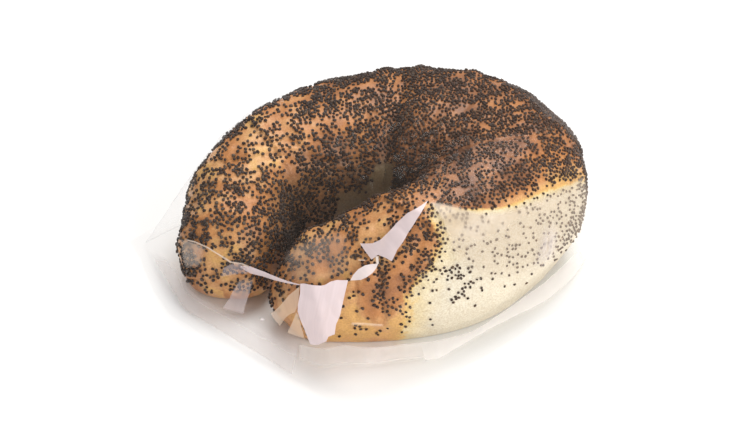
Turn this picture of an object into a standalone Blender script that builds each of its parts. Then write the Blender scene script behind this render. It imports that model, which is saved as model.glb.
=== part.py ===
"""A seeded crescent roll in its clear bag.

The roll is a thick arm of dough bent into a C, with its two ends almost
touching at the front. It lies on a flat base, and poppy seeds stand on its
crust. The bag is a thin shell pulled tight over the whole roll and down to the
table like a tent, with a narrow hem of film round its foot. It is open below,
where the roll stands.

Frame: metres, +Z up, the front is -Y. The origin is on the table, in the
middle of the bag's footprint.
"""

import math
import random

import bmesh
import bpy
import numpy as np
from mathutils import Matrix, Vector

MM = 0.001

# The roll's arm, from the left front end, round the back, to the right front
# end, in millimetres. Each station is an upright cut through the arm, given by
# its inner and outer edge in plan and by its height.
# inner x, inner y, outer x, outer y, height
STATIONS = (
    (-31.5, -12.5, -64.0, -8.5, 32.0),
    (-27.0, 0.0, -61.0, 11.0, 38.0),
    (-17.5, 5.5, -43.0, 35.0, 42.3),
    (-5.5, 6.5, -6.0, 54.5, 44.0),
    (2.5, 4.5, 40.6, 45.0, 48.0),
    (8.0, -3.0, 63.2, 2.0, 49.0),
    (6.5, -6.5, 54.5, -14.0, 48.6),
    (2.5, -9.5, 37.0, -33.0, 46.0),
    (-7.5, -11.5, 4.0, -44.6, 41.5),
    (-20.0, -16.5, -17.0, -44.3, 33.5),
)
LEFT_END = 16.5        # how far each rounded end runs past its last station
RIGHT_END = 16.5
END_ROUNDING = 1.3     # how early the foot draws in under a rounded end
WIDEST_AT = 0.43       # height of the arm's widest line, as a share of its own height
SQUARENESS = 2.3       # superellipse exponent of a cut: 2 is an ellipse
UNDERCUT = 1.25        # how much steeper the flank runs in below the widest line

# Edges of the rolled-up dough: place along the arm (share of its length) and
# how far the edge leans along it on its way over the top.
LAYER_EDGES = ((0.14, 0.05), (0.45, 0.03), (0.66, -0.05), (0.88, -0.04))
LAYER_STEP = 0.9       # how far the dough stands out at such an edge
LAYER_FADE = 0.10      # share of the length over which it falls back

# Creases of the crust: corners as (share of the arm's length, angle round the cut in
# degrees, where 0 is the outer edge and 90 the top), then depth and half-width in mm.
CREASES = (
    (((0.385, 60), (0.395, 85), (0.407, 111), (0.412, 127), (0.419, 141), (0.439, 153), (0.488, 171)),
     2.4, 3.2),
    (((0.055, 45), (0.064, 69), (0.079, 97), (0.129, 127), (0.215, 150)), 0.9, 1.7),
)
CREASE_STEPS = 60      # points along a crease
CREASE_TOP = 5.0       # height over which a crease runs out at the table

RINGS = 84             # cuts along the arm, without its two ends
END_RINGS = 7
SIDES = 30             # points round one cut

SEED_COUNT = 160
SEED_SIZE = (1.3, 1.0, 0.9)
SEED_SUNK = 0.15       # depth of a seed's middle under the crust
SEED_FREE = 0.25       # upward part of the crust's normal that a seed needs
SEED_APART = 3.2
SEED_DRAW = 11

FILM_GAP = 1.0         # from the crust to the inside of the film
FILM_WALL = 0.8
# Where the film is drawn out over the table, like a tent at its pegs: x, y.
PEGS = (
    (-77.0, 8.0), (-62.0, -25.0), (-13.0, -68.0), (20.0, -49.0), (38.0, -32.0), (59.0, -9.0), (68.5, 11.0),
)
FOOT_DEPTH = 3.0       # how far the hollow is cut through below the table
FILM_RINGS = 44
FILM_SIDES = 20
HEM_THICK = 1.0
HEM_REACH = 3.0        # width of the hem round the bag's foot
HEM_POINTS = 96

CRUST_COLOUR = (0.47, 0.19, 0.06, 1.0)
FILM_COLOUR = (0.93, 0.92, 0.92, 1.0)


def clear_scene():
    """Remove what the opened file holds."""
    for thing in list(bpy.data.objects):
        bpy.data.objects.remove(thing, do_unlink=True)


def new_collection(name):
    """Add a collection to the scene."""
    group = bpy.data.collections.new(name)
    bpy.context.scene.collection.children.link(group)
    return group


def principled(name, colour, roughness, alpha=1.0):
    """A plain material with the part's colour."""
    material = bpy.data.materials.new(name)
    material.use_nodes = True
    shader = material.node_tree.nodes["Principled BSDF"]
    shader.inputs["Base Color"].default_value = colour
    shader.inputs["Roughness"].default_value = roughness
    shader.inputs["Metallic"].default_value = 0.0
    shader.inputs["Alpha"].default_value = alpha
    return material


def spline_through(stations):
    """Natural cubic spline through the stations; the parameter is the arm's length."""
    middle = (stations[:, 0:2] + stations[:, 2:4]) / 2
    steps = np.linalg.norm(np.diff(middle, axis=0), axis=1)
    knots = np.concatenate([[0.0], np.cumsum(steps)])
    count = len(stations)
    system = np.eye(count)
    right = np.zeros_like(stations)
    for i in range(1, count - 1):
        before, after = steps[i - 1], steps[i]
        system[i, i - 1:i + 2] = before, 2 * (before + after), after
        rise = (stations[i + 1] - stations[i]) / after
        right[i] = 6 * (rise - (stations[i] - stations[i - 1]) / before)
    bend = np.linalg.solve(system, right)

    def value(s):
        k = np.clip(np.searchsorted(knots, s, side="right") - 1, 0, count - 2)
        step = steps[k][..., None]
        a = (knots[k + 1] - s)[..., None]
        b = (s - knots[k])[..., None]
        curved = (bend[k] * a ** 3 + bend[k + 1] * b ** 3) / (6 * step)
        low = stations[k] / step - bend[k] * step / 6
        high = stations[k + 1] / step - bend[k + 1] * step / 6
        return curved + low * a + high * b

    return value, knots[-1]


ARM = spline_through(np.array(STATIONS))    # cut at a length, and the whole length
NEAR, NEAR_TURN = 0.15, 0.01                # steps in mm and radians for the crust's normals


def layer_relief(share, angle):
    """How far the dough stands out, in mm: a sharp rise at each rolled edge, a slow fall after it."""
    out = np.zeros(np.broadcast(share, angle).shape)
    over_the_top = np.clip(np.sin(angle), 0.0, None)
    for place, lean in LAYER_EDGES:
        past = (share - place - lean * np.cos(angle)) * np.sign(lean)
        out += np.where(past > 0, np.exp(-past / LAYER_FADE), 0.0)
    return LAYER_STEP * out * over_the_top


def arm(s, angle):
    """A point of the bare arm at length s and angle, in mm.

    A cut is a superellipse between the inner and the outer edge,
    |y / half|^n + |z / rise|^n = 1 about its widest line, cut flat at the table.
    Past the last stations the cuts shrink by k = sqrt(1 - (run / end)^2).
    """
    s, angle = np.broadcast_arrays(np.asarray(s, float), np.asarray(angle, float))
    value, length = ARM
    cut = value(np.clip(s, 0, length))
    inner, outer, height = cut[..., 0:2], cut[..., 2:4], cut[..., 4]
    run = np.where(s < 0, s, np.where(s > length, s - length, 0.0))
    past = np.where(s < 0, run / LEFT_END, run / RIGHT_END)
    near_ends = value(np.array([0.0, 0.5, length - 0.5, length]))
    line = (near_ends[:, 0:2] + near_ends[:, 2:4]) / 2
    heading = np.where(s[..., None] < 0, line[1] - line[0], line[3] - line[2])
    heading = heading / np.linalg.norm(heading, axis=-1, keepdims=True)

    shrink = np.sqrt(np.clip(1 - past ** 2, 0, 1))
    widest = WIDEST_AT * height * (1 - 0.35 * past ** 2)
    rise = (1 - WIDEST_AT) * height * np.clip(1 - past ** 2, 0, 1) ** 0.62
    drop = widest * UNDERCUT * shrink ** END_ROUNDING
    across = np.sign(np.cos(angle)) * np.abs(np.cos(angle)) ** (2 / SQUARENESS)
    upright = np.abs(np.sin(angle)) ** (2 / SQUARENESS)
    grown = 1 + layer_relief(s / length, angle) * shrink / np.clip(rise, 5.0, None)
    plan = (inner + outer) / 2 + run[..., None] * heading
    plan = plan + (outer - inner) / 2 * (shrink * across * grown)[..., None]
    z = np.where(np.sin(angle) >= 0, widest + rise * upright * grown, widest - drop * upright)
    return np.concatenate([plan, np.clip(z, 0.0, None)[..., None]], axis=-1)


def crease_depth(points):
    """How deep the creases press the crust in, in mm: depth * exp(-(distance / half-width)^2)."""
    total = np.zeros(points.shape[:-1])
    for path, depth, width in CREASES:
        corners = np.array(path)
        t = np.linspace(0, len(corners) - 1, CREASE_STEPS)
        share = np.interp(t, range(len(corners)), corners[:, 0])
        degrees = np.interp(t, range(len(corners)), corners[:, 1])
        line = arm(share * ARM[1], np.radians(degrees))
        away = ((points[..., None, :] - line) ** 2).sum(axis=-1).min(axis=-1)
        total += depth * np.exp(-away / width ** 2)
    return total * np.clip(points[..., 2] / CREASE_TOP, 0, 1)


def arm_points(rings, end_rings, sides):
    """Points on the crust, (cuts, sides, 3) in mm: the bare arm, pressed in along its normals."""
    length = ARM[1]
    turn = np.linspace(0, math.pi / 2, end_rings + 1)
    s = np.concatenate([
        -LEFT_END * np.cos(turn)[:-1],
        np.linspace(0, length, rings),
        length + RIGHT_END * np.sin(turn)[1:],
    ])[:, None]
    angle = np.linspace(0, 2 * math.pi, sides, endpoint=False)[None, :]
    bare = arm(s, angle)
    along = arm(s + NEAR, angle) - arm(s - NEAR, angle)
    around = arm(s, angle + NEAR_TURN) - arm(s, angle - NEAR_TURN)
    normal = np.cross(around, along)
    normal /= np.linalg.norm(normal, axis=-1, keepdims=True) + 1e-9
    points = bare - normal * crease_depth(bare)[..., None]
    points[..., 2] = np.clip(points[..., 2], 0.0, None)
    return points


def loft(points):
    """A closed mesh through the cuts of an arm, its two ends drawn together."""
    rings, sides = points.shape[:2]
    mesh = bmesh.new()
    rows = [[mesh.verts.new(Vector(point) * MM) for point in row] for row in points]
    for i in range(rings - 1):
        for j in range(sides):
            k = (j + 1) % sides
            mesh.faces.new((rows[i][j], rows[i + 1][j], rows[i + 1][k], rows[i][k]))
    bmesh.ops.remove_doubles(mesh, verts=mesh.verts, dist=1e-6)
    bmesh.ops.triangulate(mesh, faces=mesh.faces)
    bmesh.ops.recalc_face_normals(mesh, faces=mesh.faces)
    return mesh


def new_object(name, mesh, group, material=None):
    """Put a bmesh into the scene as an object of one collection."""
    data = bpy.data.meshes.new(name)
    mesh.to_mesh(data)
    mesh.free()
    thing = bpy.data.objects.new(name, data)
    group.objects.link(thing)
    if material:
        data.materials.append(material)
        data.shade_smooth()
        data.set_sharp_from_angle(angle=math.radians(50))
    return thing


def seed_places(crust):
    """Middle, normal and turn of each seed: a seeded draw over the free crust, spread evenly."""
    draw = random.Random(SEED_DRAW)
    open_faces = [face for face in crust.faces if face.normal.z > SEED_FREE]
    areas = [face.calc_area() for face in open_faces]
    places = []
    while len(places) < SEED_COUNT:
        face = draw.choices(open_faces, areas)[0]
        weights = [draw.random() for _ in face.verts]
        spot = sum((v.co * w for v, w in zip(face.verts, weights)), Vector()) / sum(weights)
        if all((spot - other[0]).length > SEED_APART * MM for other in places):
            places.append((spot, face.normal.copy(), draw.uniform(0, math.pi)))
    return places


def add_seeds(places, group):
    """One small low ball for each seed, its middle a little under the crust."""
    size = Matrix.Diagonal(Vector(SEED_SIZE) * MM / 2).to_4x4()
    for number, (spot, normal, turn) in enumerate(places):
        mesh = bmesh.new()
        bmesh.ops.create_icosphere(mesh, subdivisions=1, radius=1.0)
        stand = normal.to_track_quat("Z", "Y").to_matrix().to_4x4()
        middle = Matrix.Translation(spot - normal * SEED_SUNK * MM)
        mesh.transform(middle @ stand @ Matrix.Rotation(turn, 4, "Z") @ size)
        new_object(f"seed_{number:03d}", mesh, group)


def apply_modifiers(thing):
    """Replace an object's mesh by its evaluated one."""
    evaluated = thing.evaluated_get(bpy.context.evaluated_depsgraph_get())
    data = bpy.data.meshes.new_from_object(evaluated)
    thing.modifiers.clear()
    thing.data = data


def fuse_seeds(roll, seeds):
    """One union of the crust with all its seeds, which are then removed."""
    union = roll.modifiers.new("seeds", "BOOLEAN")
    union.operation = "UNION"
    union.operand_type = "COLLECTION"
    union.collection = seeds
    union.solver = "EXACT"
    apply_modifiers(roll)
    for seed in list(seeds.objects):
        bpy.data.objects.remove(seed, do_unlink=True)
    bpy.data.collections.remove(seeds)


def tight_hull(gap, floor):
    """The tightest cover of the roll and the pegs at one gap from the crust, down to a floor height."""
    mesh = loft(arm_points(FILM_RINGS, END_RINGS, FILM_SIDES))
    mesh.normal_update()
    around = [v.co + v.normal * gap * MM for v in mesh.verts]
    mesh.free()
    hull = bmesh.new()
    for point in around:
        hull.verts.new((point.x, point.y, max(point.z, floor * MM)))
        hull.verts.new((point.x, point.y, floor * MM))
    for x, y in PEGS:
        out = math.hypot(x, y)
        drawn = (out - FILM_GAP - FILM_WALL + gap) / out
        hull.verts.new((x * drawn * MM, y * drawn * MM, floor * MM))
    cover = bmesh.ops.convex_hull(hull, input=hull.verts)
    inside = {v for v in cover["geom_interior"] + cover["geom_unused"] if isinstance(v, bmesh.types.BMVert)}
    bmesh.ops.delete(hull, geom=list(inside), context="VERTS")
    bmesh.ops.recalc_face_normals(hull, faces=hull.faces)
    return hull


def foot_radius(hull, angles):
    """Distance from the axis to the hull's foot: the least h(n) / (n . d) over all directions n."""
    plan = np.array([v.co[0:2] for v in hull.verts])
    turns = np.linspace(0, 2 * math.pi, 4 * HEM_POINTS, endpoint=False)
    normals = np.stack([np.cos(turns), np.sin(turns)], axis=1)
    support = (plan @ normals.T).max(axis=0)
    facing = np.cos(angles[:, None] - turns[None, :])
    reach = np.where(facing > 0.05, support[None, :] / np.clip(facing, 0.05, None), np.inf)
    return reach.min(axis=1)


def hem_plate(hull):
    """The film that lies on the table round the foot: a thin plate."""
    angles = np.linspace(0, 2 * math.pi, HEM_POINTS, endpoint=False)
    radius = foot_radius(hull, angles) + HEM_REACH * MM
    mesh = bmesh.new()
    edge = [mesh.verts.new((r * math.cos(a), r * math.sin(a), 0.0)) for r, a in zip(radius, angles)]
    face = mesh.faces.new(edge)
    sheet = bmesh.ops.extrude_face_region(mesh, geom=[face])
    top = [v for v in sheet["geom"] if isinstance(v, bmesh.types.BMVert)]
    bmesh.ops.translate(mesh, verts=top, vec=(0, 0, HEM_THICK * MM))
    bmesh.ops.recalc_face_normals(mesh, faces=mesh.faces)
    return mesh


def as_tool(thing):
    """Keep a cutter or a helper out of the finished part."""
    thing.hide_render = True
    thing.display_type = "WIRE"
    return thing


def add_boolean(thing, operation, tool):
    """Join a tool to an object, or cut it away."""
    step = thing.modifiers.new(tool.name, "BOOLEAN")
    step.operation = operation
    step.object = tool
    step.solver = "EXACT"


def make_roll(parts):
    """The crust with its seeds, as one solid."""
    crust = loft(arm_points(RINGS, END_RINGS, SIDES))
    crust.normal_update()
    places = seed_places(crust)
    roll = new_object("roll", crust, parts, principled("crust", CRUST_COLOUR, 0.6))
    seeds = new_collection("seeds")
    add_seeds(places, seeds)
    fuse_seeds(roll, seeds)
    return roll


def make_bag(parts, tools):
    """The film: a tight cover with its hem, hollow and open below."""
    outside = tight_hull(FILM_GAP + FILM_WALL, 0.0)
    hem = as_tool(new_object("hem_plate", hem_plate(outside), tools))
    hollow = as_tool(new_object("bag_hollow", tight_hull(FILM_GAP, -FOOT_DEPTH), tools))
    bag = new_object("film_bag", outside, parts, principled("film", FILM_COLOUR, 0.12, alpha=0.35))
    add_boolean(bag, "UNION", hem)
    add_boolean(bag, "DIFFERENCE", hollow)
    apply_modifiers(bag)
    return bag


def centre_on(bag, things):
    """Move the meshes so that the middle of the bag's footprint is the origin."""
    corners = [Vector(corner) for corner in bag.bound_box]
    low = Vector(min(c[i] for c in corners) for i in range(3))
    high = Vector(max(c[i] for c in corners) for i in range(3))
    shift = Vector(((low.x + high.x) / -2, (low.y + high.y) / -2, 0.0))
    for thing in things:
        thing.data.transform(Matrix.Translation(shift))


def main():
    clear_scene()
    parts = new_collection("crescent_roll")
    tools = new_collection("tools")
    roll = make_roll(parts)
    bag = make_bag(parts, tools)
    centre_on(bag, (roll, bag))


main()
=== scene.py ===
# %% [markdown]
# Here those reflections are painted: each is a lit whitish sheet lying on the film.
# # A poppy-seeded crescent roll in a clear bag
#
# A crescent roll is a strip of dough rolled up, bent into a C and baked until its two ends
# almost meet. Its looks come from three layers. The crust goes from golden to deep brown, and
# stays cream on the flank where it touched its neighbour on the tray. Thousands of poppy seeds
# are strewn on it before baking, thick on top and thin on the flanks. Over it all lies the film
# of the bag, which shows only by what it mirrors: a bright fold, a few white facets, a thin veil.
#
# The CAD frame holds two solids, `roll` and `film_bag`. Both keep their size and place, and the
# pieces below stand for them. Lengths are in millimetres until a mesh is made.

# %% The frame
import math

import bpy
import numpy as np
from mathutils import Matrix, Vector


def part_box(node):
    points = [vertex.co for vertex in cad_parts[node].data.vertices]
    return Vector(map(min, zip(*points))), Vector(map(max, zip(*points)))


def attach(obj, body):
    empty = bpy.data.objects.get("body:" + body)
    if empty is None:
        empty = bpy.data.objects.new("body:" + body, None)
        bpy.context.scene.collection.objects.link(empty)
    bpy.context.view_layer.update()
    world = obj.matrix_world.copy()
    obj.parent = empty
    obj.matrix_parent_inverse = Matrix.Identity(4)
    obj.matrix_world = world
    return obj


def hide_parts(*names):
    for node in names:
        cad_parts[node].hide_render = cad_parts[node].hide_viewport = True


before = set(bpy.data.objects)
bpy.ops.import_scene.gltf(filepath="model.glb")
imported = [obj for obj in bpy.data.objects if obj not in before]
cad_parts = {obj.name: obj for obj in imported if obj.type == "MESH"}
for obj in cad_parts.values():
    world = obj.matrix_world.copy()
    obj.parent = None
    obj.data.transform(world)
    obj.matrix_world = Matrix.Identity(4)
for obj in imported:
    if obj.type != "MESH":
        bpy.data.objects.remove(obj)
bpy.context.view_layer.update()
MM = 0.001

# %% [markdown]
# ## The roll's form
#
# The arm is a loft. Each station is an upright cut with an inner and an outer edge in plan and a
# height, and a spline joins the stations from the left front end, round the back, to the right
# front end. A tube with one radius was no choice: the arm is twice as thick at the right as at its
# tips, and the inner side bends far tighter than the outer. The numbers are the CAD source's own.

# %% Sizes of the roll
# Inner x, inner y, outer x, outer y and height of each station.
STATIONS = np.array([
    (-31.5, -12.5, -64.0, -8.5, 32.0),
    (-27.0, 0.0, -61.0, 11.0, 38.0),
    (-17.5, 5.5, -43.0, 35.0, 42.3),
    (-5.5, 6.5, -6.0, 54.5, 44.0),
    (2.5, 4.5, 40.6, 45.0, 48.0),
    (8.0, -3.0, 63.2, 2.0, 49.0),
    (6.5, -6.5, 54.5, -14.0, 48.6),
    (2.5, -9.5, 37.0, -33.0, 46.0),
    (-7.5, -11.5, 4.0, -44.6, 41.5),
    (-20.0, -16.5, -17.0, -44.3, 33.5),
])
END_RUN = 16.5          # how far each end runs past its last station
END_ROUNDING = 1.3      # how early the foot draws in under an end
END_SLUMP, END_BROW = 0.35, 0.62    # how far an end sinks, and how full its upper edge stays
WIDEST_AT = 0.43        # height of the widest line, as a share of the arm's height
SQUARENESS = 2.3        # exponent of a cut: 2 is an ellipse
UNDERCUT = 1.25         # how much steeper the flank runs in below the widest line
LAYER_EDGES = ((0.14, 0.05), (0.45, 0.03), (0.66, -0.05), (0.88, -0.04))   # share, lean over the top
LAYER_STEP, LAYER_FADE = 0.9, 0.10  # rise at a layer's edge, and the share over which it falls back


# %% A spline through the stations
def spline_through(stations):
    """Natural cubic spline through the stations, by the length of their middle line."""
    middle = (stations[:, 0:2] + stations[:, 2:4]) / 2
    steps = np.linalg.norm(np.diff(middle, axis=0), axis=1)
    knots = np.concatenate([[0.0], np.cumsum(steps)])
    count = len(stations)
    system, right = np.eye(count), np.zeros_like(stations)
    for i in range(1, count - 1):
        before, after = steps[i - 1], steps[i]
        system[i, i - 1:i + 2] = before, 2 * (before + after), after
        rise = (stations[i + 1] - stations[i]) / after
        right[i] = 6 * (rise - (stations[i] - stations[i - 1]) / before)
    bend = np.linalg.solve(system, right)

    def value(s):
        k = np.clip(np.searchsorted(knots, s, side="right") - 1, 0, count - 2)
        step = steps[k][..., None]
        a, b = (knots[k + 1] - s)[..., None], (s - knots[k])[..., None]
        curved = (bend[k] * a ** 3 + bend[k + 1] * b ** 3) / (6 * step)
        low = stations[k] / step - bend[k] * step / 6
        high = stations[k + 1] / step - bend[k + 1] * step / 6
        return curved + low * a + high * b

    return value, knots[-1]


cut_at, ARM = spline_through(STATIONS)
print("length of the arm:", round(ARM, 1), "mm")


# %% The arm as a function of two parameters
def smooth(x, low, high):
    """0 below low, 1 above high, and 3t^2 - 2t^3 between."""
    t = np.clip((x - low) / (high - low), 0, 1)
    return t * t * (3 - 2 * t)


def unit(vectors):
    """Vectors over their own length."""
    return vectors / np.linalg.norm(vectors, axis=-1, keepdims=True)


def layer_relief(share, angle):
    """The rolled-up layers, in mm: a sharp rise at each edge and a slow fall after it."""
    out = np.zeros(np.broadcast(share, angle).shape)
    for place, lean in LAYER_EDGES:
        past = (share - place - lean * np.cos(angle)) * np.sign(lean)
        out += np.where(past > 0, np.exp(-past / LAYER_FADE), 0.0)
    return LAYER_STEP * out * np.clip(np.sin(angle), 0, None)


def arm(s, angle):
    """A point of the bare arm at length s and section angle, in mm.

    |y / half|^n + |z / rise|^n = 1 round the widest line, cut flat at the table; past the last
    stations the cut shrinks by k = sqrt(1 - (run / end)^2), which rounds the ends.
    """
    s, angle = np.broadcast_arrays(np.asarray(s, float), np.asarray(angle, float))
    cut = cut_at(np.clip(s, 0, ARM))
    inner, outer, height = cut[..., 0:2], cut[..., 2:4], cut[..., 4]
    run = np.where(s < 0, s, np.where(s > ARM, s - ARM, 0.0))
    past = np.clip(run / END_RUN, -1, 1)
    near = cut_at(np.array([0.0, 0.5, ARM - 0.5, ARM]))
    line = (near[:, 0:2] + near[:, 2:4]) / 2
    heading = unit(np.where(s[..., None] < 0, line[1] - line[0], line[3] - line[2]))
    k = np.sqrt(1 - past ** 2)
    widest = WIDEST_AT * height * (1 - END_SLUMP * past ** 2)
    rise = (1 - WIDEST_AT) * height * (1 - past ** 2) ** END_BROW
    across = np.sign(np.cos(angle)) * np.abs(np.cos(angle)) ** (2 / SQUARENESS)
    upright = np.abs(np.sin(angle)) ** (2 / SQUARENESS)
    grown = 1 + layer_relief(s / ARM, angle) * k / np.clip(rise, 5.0, None)
    plan = (inner + outer) / 2 + run[..., None] * heading
    plan = plan + (outer - inner) / 2 * (k * across * grown)[..., None]
    z = np.where(np.sin(angle) >= 0, widest + rise * upright * grown,
                 widest - widest * UNDERCUT * k ** END_ROUNDING * upright)
    return np.concatenate([plan, np.clip(z, 0, None)[..., None]], axis=-1)


# %% Two kinds of unevenness
def waves(points, length, seed, count=40):
    """Soft noise of about unit size: a sum of plane waves with seeded directions and phases."""
    draw = np.random.default_rng(seed)
    ways = draw.normal(size=(count, 3))
    ways *= (draw.uniform(0.7, 1.4, count) / length / np.linalg.norm(ways, axis=1))[:, None]
    phases = draw.uniform(0, math.tau, count)
    total = np.zeros(points.shape[:-1])
    for way, phase in zip(ways, phases):
        total += np.sin(math.tau * (points @ way) + phase)
    return total * math.sqrt(2 / count)


def cells(points, size, seed):
    """Distance to the nearest of many spots, one drawn in each cube of space, over the cube's side."""
    table = np.random.default_rng(seed).uniform(size=(4096, 3))
    home = np.floor(points / size).astype(np.int64)
    least = np.full(points.shape[:-1], np.inf)
    for x, y, z in np.ndindex(3, 3, 3):
        cube = home + (x - 1, y - 1, z - 1)
        code = (cube @ np.array((73856093, 19349663, 83492791))) % len(table)
        least = np.minimum(least, ((points - (cube + table[code]) * size) ** 2).sum(-1))
    return np.sqrt(least) / size


# %% From the arm's own origin to the frame's
own = arm(np.linspace(-END_RUN, ARM + END_RUN, 900)[:, None],
          np.linspace(0, math.tau, 180)[None, :]).reshape(-1, 3)
roll_low, roll_high = (np.array(corner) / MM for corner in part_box("roll"))
SHIFT = np.append(((roll_low + roll_high) / 2 - (own.min(0) + own.max(0)) / 2)[:2], 0.0)
print("the frame's origin lies", SHIFT[:2].round(2), "mm off the arm's own")

# %% [markdown]
# ## The crust
#
# The crust is the arm as one fine grid, pushed along its normals by what the oven and the rolling
# left: broad lumps, shallow dimples, and creases where one layer of dough ends. A sculpted relief
# was preferred to a bump map alone, because creases must catch seeds and break the outline.
# The colours need a map of the browning and of painted shade, which is stored on the mesh as plain
# numbers:
# `bake` (0 golden, 1 deep brown, raised inside the hole and under the left end as painted shade),
# `cream` (distance past the edge of the unbrowned flank) and `dough` (the bare inner wall of the hole,
# its colour darkened as painted shade, and about half of it deeper in the hole as painted shade).

# %% Creases and dimples
# Paths over the crust as (share of the arm, section angle in degrees), with depth and half-width.
CREASES = (
    (((0.385, 60), (0.395, 85), (0.407, 111), (0.412, 127), (0.419, 141), (0.439, 153), (0.488, 171)),
     2.4, 3.2),
    (((0.055, 45), (0.064, 69), (0.079, 97), (0.129, 127), (0.215, 150)), 0.9, 1.7),
    (((0.20, 146), (0.27, 150), (0.36, 146)), 0.8, 1.2),
    (((0.20, 154), (0.28, 158), (0.37, 154)), 0.8, 1.2),
    (((0.100, 80), (0.135, 105), (0.175, 131)), 0.5, 1.2),
    (((0.932, 45), (0.929, 22), (0.926, -8)), 1.0, 1.3),
    (((0.962, 30), (0.963, 12), (0.962, -6)), 0.6, 0.8),
    (((0.865, 58), (0.885, 40), (0.896, 20)), 0.4, 1.5),
    (((0.47, 40), (0.50, 75), (0.56, 110), (0.60, 150)), 0.6, 1.6),
    (((0.72, 40), (0.70, 80), (0.67, 120), (0.66, 150)), 0.5, 1.6),
)


def nearness(points, path, width, count=60):
    """exp(-(d / width)^2), d being the distance to a path over the arm; the path is count points,
    read linearly between its corners.
    """
    corners = np.array(path, float)
    t = np.linspace(0, len(corners) - 1, count)
    share, degrees = (np.interp(t, range(len(corners)), column) for column in corners.T)
    least = np.full(points.shape[:-1], np.inf)
    for spot in arm(share * ARM, np.radians(degrees)):
        least = np.minimum(least, ((points - spot) ** 2).sum(-1))
    return np.exp(-least / width ** 2)


print("creases:", len(CREASES))

# %% The crust as a function of two parameters
LUMPS = ((0.34, 24), (0.12, 8), (0.05, 3))   # height and length in mm of the crust's waves
LIP_HEIGHT, LIP_WIDTH = 0.35, 2.6   # the low lip of a crease, as shares of its depth and width
SEED_ROOM = 0.4         # mm that the crust lies inside the solid, so that the seeds reach its outline
STILL_FOOT = 5.0        # mm over the table where the relief fades out


def crust(s, angle):
    """A point of the baked crust and its normal, in mm.

    The arm is pushed along its normal by its waves, less a trough and plus a wider low lip for
    each crease.
    """
    base = arm(s, angle)
    along = arm(s + 0.15, angle) - arm(s - 0.15, angle)
    round_it = arm(s, angle + 0.01) - arm(s, angle - 0.01)
    normal = np.cross(round_it, along)
    normal /= np.linalg.norm(normal, axis=-1, keepdims=True) + 1e-9
    relief = sum(height * waves(base, length, seed) for seed, (height, length) in enumerate(LUMPS, 1))
    relief = relief - SEED_ROOM
    for path, depth, width in CREASES:
        relief = relief - depth * nearness(base, path, width)
        relief = relief + LIP_HEIGHT * depth * nearness(base, path, LIP_WIDTH * width)
    relief = relief * smooth(base[..., 2], 0.0, STILL_FOOT)
    point = base + normal * relief[..., None]
    point[..., 2] = np.clip(point[..., 2], 0, None)
    return point, normal


# %% A mesh from arrays
def mesh_object(name, points, *faces, **numbers):
    """A smooth mesh object from points in mm and arrays of faces, each array with its own number
    of corners; numbers are kept as point attributes.
    """
    data = bpy.data.meshes.new(name)
    data.vertices.add(len(points))
    data.vertices.foreach_set("co", ((points + SHIFT) * MM).astype(np.float32).ravel())
    corners = np.concatenate([group.ravel() for group in faces])
    sides = np.concatenate([np.full(len(group), group.shape[1]) for group in faces])
    data.loops.add(len(corners))
    data.loops.foreach_set("vertex_index", corners.astype(np.int32))
    data.polygons.add(len(sides))
    data.polygons.foreach_set("loop_start", (np.cumsum(sides) - sides).astype(np.int32))
    data.update(calc_edges=True)
    for key, values in numbers.items():
        layer = data.attributes.new(key, "FLOAT", "POINT")
        layer.data.foreach_set("value", np.asarray(values, np.float32).ravel())
    data.shade_smooth()
    thing = bpy.data.objects.new(name, data)
    bpy.context.scene.collection.objects.link(thing)
    print(f"{name}: {len(points)} points, {len(sides)} faces")
    return thing


def grid_faces(rows, columns, closed=True):
    """Quads of a grid of points; closed joins its last column to the first."""
    i, j = np.meshgrid(np.arange(rows - 1), np.arange(columns if closed else columns - 1), indexing="ij")
    k = (j + 1) % columns
    return np.stack([i * columns + j, (i + 1) * columns + j, (i + 1) * columns + k, i * columns + k],
                    axis=-1).reshape(-1, 4)


def fan(pole, ring):
    """Triangles from one point to a closed ring of points."""
    return np.stack([np.full(len(ring), pole), ring, np.roll(ring, -1)], axis=-1)


# %% The crust's grid
CUTS, END_CUTS, SIDES = 400, 30, 190

turn = np.linspace(0.02, math.pi / 2, END_CUTS)
lengths = np.concatenate([-END_RUN * np.cos(turn)[:-1], np.linspace(0, ARM, CUTS),
                          ARM + END_RUN * np.cos(turn)[::-1][1:]])
angles = np.linspace(0, math.tau, SIDES, endpoint=False)
crust_points, crust_normals = crust(lengths[:, None], angles[None, :])
print("crust grid:", crust_points.shape[:2])

# %% How the oven coloured it, and the painted shade in the hole and under the left end
MM_PER_DEGREE = 0.42    # way over the crust for one degree of section angle, on the flank
# The pale flank's upper edge, by share of the arm, and its front edge, by section angle.
FLANK_TOP = ((0.50, 0.58, 0.60, 0.65, 0.69, 0.73, 0.77, 0.80, 0.82, 0.84, 0.88),
             (-180, -60, -14, 20, 32, 43, 52, 62, 73, 83, 100))
FLANK_FRONT = ((-60, -24, -2, 10, 15, 23, 36, 48, 68, 90),
               (0.908, 0.907, 0.903, 0.899, 0.894, 0.881, 0.867, 0.857, 0.850, 0.840))
# Browning, the golden rim's width in mm over the flank, and the height in mm of the bare dough
# in the hole, each by share of the arm.
BAKED = ((-0.1, 0.0, 0.12, 0.3, 0.5, 0.72, 0.82, 0.9, 1.0, 1.1),
         (0.36, 0.36, 0.32, 0.54, 0.76, 0.80, 0.64, 0.42, 0.30, 0.40))
GOLDEN_RIM = ((0.68, 0.74), (14.0, 5.0))
BARE_DOUGH = ((0.2, 0.32, 0.38, 0.46), (22, 24, 32, 33))
# Browning inside the hole, set high so that its walls come out dark: painted shade as much as browning.
HOLE_BAKED_AND_SHADED = 0.76
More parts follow.
